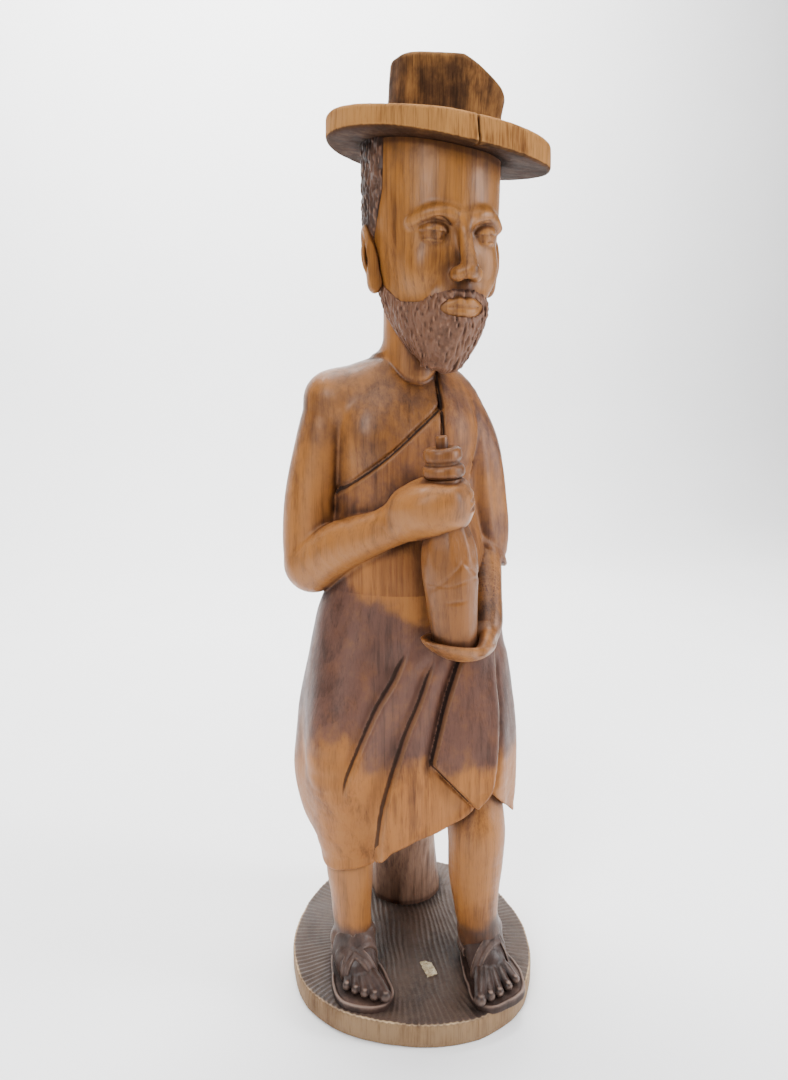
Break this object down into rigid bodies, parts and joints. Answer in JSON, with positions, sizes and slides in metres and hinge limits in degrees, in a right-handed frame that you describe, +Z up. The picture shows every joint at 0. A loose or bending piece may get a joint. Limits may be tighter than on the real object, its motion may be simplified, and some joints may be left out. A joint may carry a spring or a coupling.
{
  "type": "carved wooden figure",
  "caption": "Tall carved wooden figure of a bearded elder in a wide-brimmed hat and wrapped robe, standing on a round base and holding a stoppered bottle.",
  "frame": {"origin": "centre of the whole figure's plan outline, on the underside of its round base", "axes": "+Z up, the figure faces -Y, its left hand side is +X"},
  "size_m": [0.344, 0.37, 1.181],
  "materials": {
    "base_wood": "satin",
    "stump_wood": "satin",
    "sandal_wood": "satin",
    "foot_wood": "satin",
    "skin_wood": "satin polish",
    "robe_wood": "satin polish",
    "bottle_wood": "satin polish",
    "hair_wood": "chiselled satin",
    "hat_wood": "satin",
    "label_film": "worn matte"
  },
  "bodies": {
    "root": {"base_disc": "base_wood", "paper_label": "label_film", "tree_stump": "stump_wood", "right_sandal_sole": "sandal_wood", "left_sandal_sole": "sandal_wood", "right_sandal_straps": "sandal_wood", "left_sandal_straps": "sandal_wood", "right_foot": "foot_wood", "left_foot": "foot_wood", "right_leg": "skin_wood", "left_leg": "skin_wood", "robe_skirt": "robe_wood", "robe_overfold": "robe_wood", "robe_wrap": "robe_wood", "robe_shoulder_drape": "robe_wood", "bare_chest": "skin_wood", "right_upper_arm": "skin_wood", "right_forearm": "skin_wood", "right_hand": "skin_wood", "left_forearm": "skin_wood", "left_hand": "skin_wood", "bottle_body": "bottle_wood", "bottle_collar": "bottle_wood", "bottle_stopper": "bottle_wood", "neck": "skin_wood", "head": "skin_wood", "right_ear": "skin_wood", "left_ear": "skin_wood", "hair": "hair_wood", "beard": "hair_wood", "hat_brim": "hat_wood", "hat_crown": "hat_wood"}
  },
  "joints": []
}
